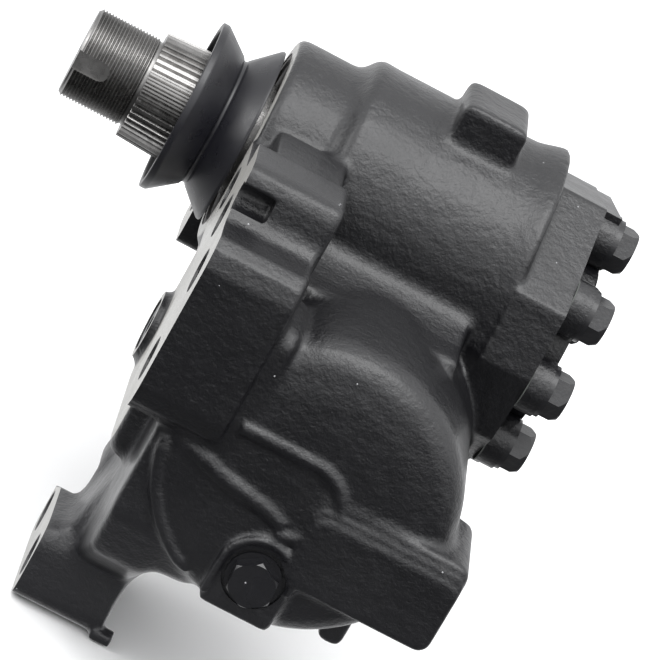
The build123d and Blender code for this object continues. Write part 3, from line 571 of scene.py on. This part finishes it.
bm_raw = bmesh.new()
for shape in (barrel_shape, cylinder_shape, pads_shape, neck_shape, bosses_shape):
    shape(bm_raw)
casting = to_object(bm_raw, "casting")
VOXEL, BLEND_ROUNDS, SOFT_ROUNDS, CRISP_ROUNDS = 0.0012, 22, 80, 5
remesh_and_smooth(casting, VOXEL, BLEND_ROUNDS)
soften(casting, (-12, -142, -199), (82, 20, -84), 12, SOFT_ROUNDS)
for step in (ear_slope, pad_scoop):
    cut(casting, step)
join_in(casting, cast_details)
remesh_and_smooth(casting, VOXEL * 0.9, CRISP_ROUNDS)
for step in (machining, flange_face, valve_face, inner_bores, cover_opening, main_bore, holes):
    cut(casting, step)
casting.data.polygons.foreach_set("use_smooth", [True] * len(casting.data.polygons))
casting.data.set_sharp_from_angle(angle=math.radians(38))     # machined faces meet the casting in edges
dress(casting, "housing_paint")
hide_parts("gear_housing")
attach(casting, "housing")

# ------------------------------------------------------------------ dust boot
def soft_outline(points, radius, steps=4):
    """Closed outline with every corner rounded by a short curve."""
    out = []
    for i, corner in enumerate(points):
        corner = Vector(corner)
        before = Vector(points[i - 1]) - corner
        after = Vector(points[(i + 1) % len(points)]) - corner
        start = corner + before.normalized() * min(radius, 0.4 * before.length)
        end = corner + after.normalized() * min(radius, 0.4 * after.length)
        for k in range(steps + 1):
            t = k / steps
            out.append(tuple((1 - t) ** 2 * start + 2 * t * (1 - t) * corner + t ** 2 * end))
    return out


BOOT = [(-32, 36.5), (-32, 40), (-29, 40), (-17.2, 30.9), (-16.6, 29.6), (-15.2, 29.4), (-14.4, 30.6),
        (-3.4, 40.9), (-2.0, 41.0), (-3.4, 38.4), (-14.2, 28.0), (-15.0, 26.6), (-17.5, 26.6), (-29.4, 36.5)]
bm_boot = bmesh.new()
lathe(bm_boot, "X", (0, 0, 0), soft_outline(BOOT, 0.7), 192, closed=True)
boot = to_object(bm_boot, "boot")
dress(boot, "boot_rubber")
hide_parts("dust_boot")
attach(boot, "sector")

# ------------------------------------------------------------------ stage, camera, light
bm_floor = bmesh.new()
bmesh.ops.create_grid(bm_floor, x_segments=2, y_segments=2, size=9000)
floor = to_object(bm_floor, "floor", False)
floor.location = (0, 0, CAD_BOX[0][2] - 0.0005)
floor_mat, floor_tree, floor_shader = new_material("pale_floor")
floor_shader.inputs["Base Color"].default_value = (0.93, 0.93, 0.93, 1)
floor_shader.inputs["Roughness"].default_value = 0.9
floor.data.materials.append(floor_mat)
floor.visible_glossy = False

scene = bpy.context.scene
YAW, PITCH, ROLL = math.radians(6.5), math.radians(20.0), math.radians(29.8)
DISTANCE = 1.8
VIEW_WIDTH = 0.29165                # metres across the picture at the target
SENSOR = 36.0
TARGET = Vector((0.0734, 0.0, -0.0607))
view_dir = Vector((math.sin(YAW) * math.cos(PITCH), math.cos(YAW) * math.cos(PITCH), -math.sin(PITCH)))
level_right = view_dir.cross(Vector((0, 0, 1))).normalized()
level_up = level_right.cross(view_dir).normalized()
right = level_right * math.cos(ROLL) + level_up * math.sin(ROLL)
up = -level_right * math.sin(ROLL) + level_up * math.cos(ROLL)
cam_data = bpy.data.cameras.new("camera")
cam_data.sensor_width = SENSOR
cam_data.lens = SENSOR * DISTANCE / VIEW_WIDTH
cam_data.clip_end = 100.0
camera = bpy.data.objects.new("camera", cam_data)
scene.collection.objects.link(camera)
rotation = Matrix((right, up, -view_dir)).transposed().to_4x4()
camera.matrix_world = Matrix.Translation(TARGET - view_dir * DISTANCE) @ rotation
scene.camera = camera

world = bpy.data.worlds.new("studio")
scene.world = world
world.use_nodes = True
wt = world.node_tree
wt.nodes.clear()
w_out = wt.nodes.new("ShaderNodeOutputWorld")
w_coord = wt.nodes.new("ShaderNodeTexCoord")
w_split = wt.nodes.new("ShaderNodeSeparateXYZ")
wt.links.new(w_coord.outputs["Generated"], w_split.inputs[0])


def w_range(value, *limits):
    """Smooth step; limits are low and high in, then low and high out."""
    item = wt.nodes.new("ShaderNodeMapRange")
    item.interpolation_type = "SMOOTHSTEP"
    for key, number in zip(("From Min", "From Max", "To Min", "To Max"), limits):
        item.inputs[key].default_value = number
    wt.links.new(value, item.inputs["Value"])
    return item.outputs["Result"]


def w_math(kind, a, b):
    item = wt.nodes.new("ShaderNodeMath")
    item.operation = kind
    wt.links.new(a, item.inputs[0])
    wt.links.new(b, item.inputs[1])
    return item.outputs[0]


height = w_range(w_split.outputs["Z"], -0.30, 0.95, 0.115, 2.3)
behind = w_range(w_split.outputs["Y"], -0.2, 0.75, 0.0, 1.0)
front_part = w_math("MULTIPLY", height, w_range(w_split.outputs["Y"], -0.2, 0.75, 1.0, 0.0))
strength = w_math("ADD", front_part, behind)
bg = wt.nodes.new("ShaderNodeBackground")
wt.links.new(strength, bg.inputs["Strength"])
bg.inputs["Color"].default_value = (0.985, 0.99, 1.0, 1)
bg_cam = wt.nodes.new("ShaderNodeBackground")
bg_cam.inputs["Color"].default_value = (1, 1, 1, 1)
bg_cam.inputs["Strength"].default_value = 1.0
w_path = wt.nodes.new("ShaderNodeLightPath")
w_mix = wt.nodes.new("ShaderNodeMixShader")
wt.links.new(w_path.outputs["Is Camera Ray"], w_mix.inputs["Fac"])
wt.links.new(bg.outputs[0], w_mix.inputs[1])
wt.links.new(bg_cam.outputs[0], w_mix.inputs[2])
wt.links.new(w_mix.outputs[0], w_out.inputs[0])

scene.view_settings.view_transform = "Standard"


def softbox(name, place, aim, size, energy):
    data = bpy.data.lights.new(name, "AREA")
    data.shape = "RECTANGLE"
    data.size, data.size_y = size
    data.energy = energy
    lamp = bpy.data.objects.new(name, data)
    lamp.location = place
    lamp.rotation_euler = (Vector(aim) - Vector(place)).to_track_quat("-Z", "Y").to_euler()
    scene.collection.objects.link(lamp)


softbox("softbox_top", (0.1, -0.5, 1.3), (0.07, 0, -0.06), (1.2, 0.8), 11)
softbox("softbox_left", (-1.3, -0.2, 0.5), (0.05, 0, -0.06), (0.6, 0.8), 5)
